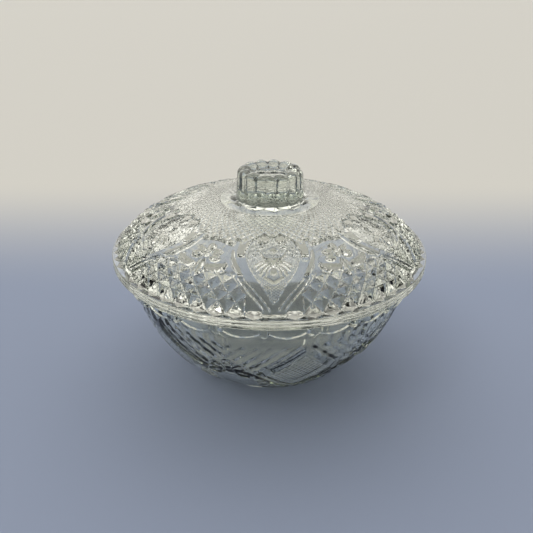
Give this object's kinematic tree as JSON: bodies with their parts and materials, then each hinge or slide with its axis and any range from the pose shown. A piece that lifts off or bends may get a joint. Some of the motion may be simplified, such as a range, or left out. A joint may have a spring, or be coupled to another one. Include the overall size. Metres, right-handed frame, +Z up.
{
  "type": "covered candy dish",
  "caption": "Round pressed-glass candy dish with a footed bowl, a pegged rim and a domed, patterned lid that lifts off by a fluted knob.",
  "frame": {"origin": "centre of the foot's resting face", "axes": "+Z up through the knob; one shield of the lid's pattern faces -Y"},
  "size_m": [0.169, 0.169, 0.1127],
  "materials": {
    "clear_glass": "clear pressed glass with a faint grey-green tint and a fire-polished surface"
  },
  "bodies": {
    "bowl": {"bowl": "clear_glass"},
    "lid": {"lid": "clear_glass"}
  },
  "joints": [
    {"name": "lid_lift", "type": "slide", "parent": "bowl", "child": "lid", "axis": [0, 0, 1], "range_m": [0, 0.12]}
  ]
}
